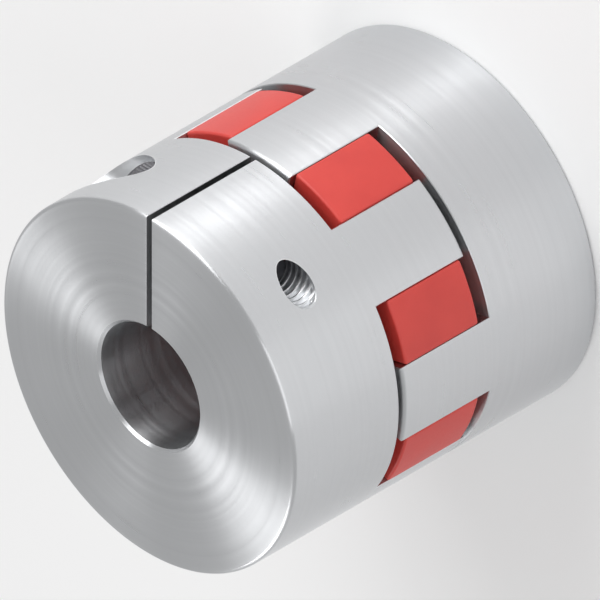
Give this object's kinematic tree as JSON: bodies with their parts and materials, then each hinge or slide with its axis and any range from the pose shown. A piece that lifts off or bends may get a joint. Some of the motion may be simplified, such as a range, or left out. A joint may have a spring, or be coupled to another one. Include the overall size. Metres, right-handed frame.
{
  "type": "shaft coupling",
  "caption": "Round jaw coupling that joins shafts end to end, with slotted clamping hubs whose interlocking jaws drive through an elastomer spider.",
  "frame": {"origin": "centre of the rear hub's end face, on which the coupling stands", "axes": "+Z along the shaft axis from the rear hub to the front hub, +X towards the front hub's clamping slot"},
  "size_m": [0.056, 0.056, 0.058],
  "materials": {
    "hub_aluminium": "turned, satin",
    "spider_elastomer": "moulded polyurethane, semi-matt",
    "screw_steel": "black oxide"
  },
  "bodies": {
    "root": {"front_hub": "hub_aluminium", "rear_hub": "hub_aluminium", "spider": "spider_elastomer", "front_clamp_screw": "screw_steel", "rear_clamp_screw": "screw_steel"}
  },
  "joints": []
}
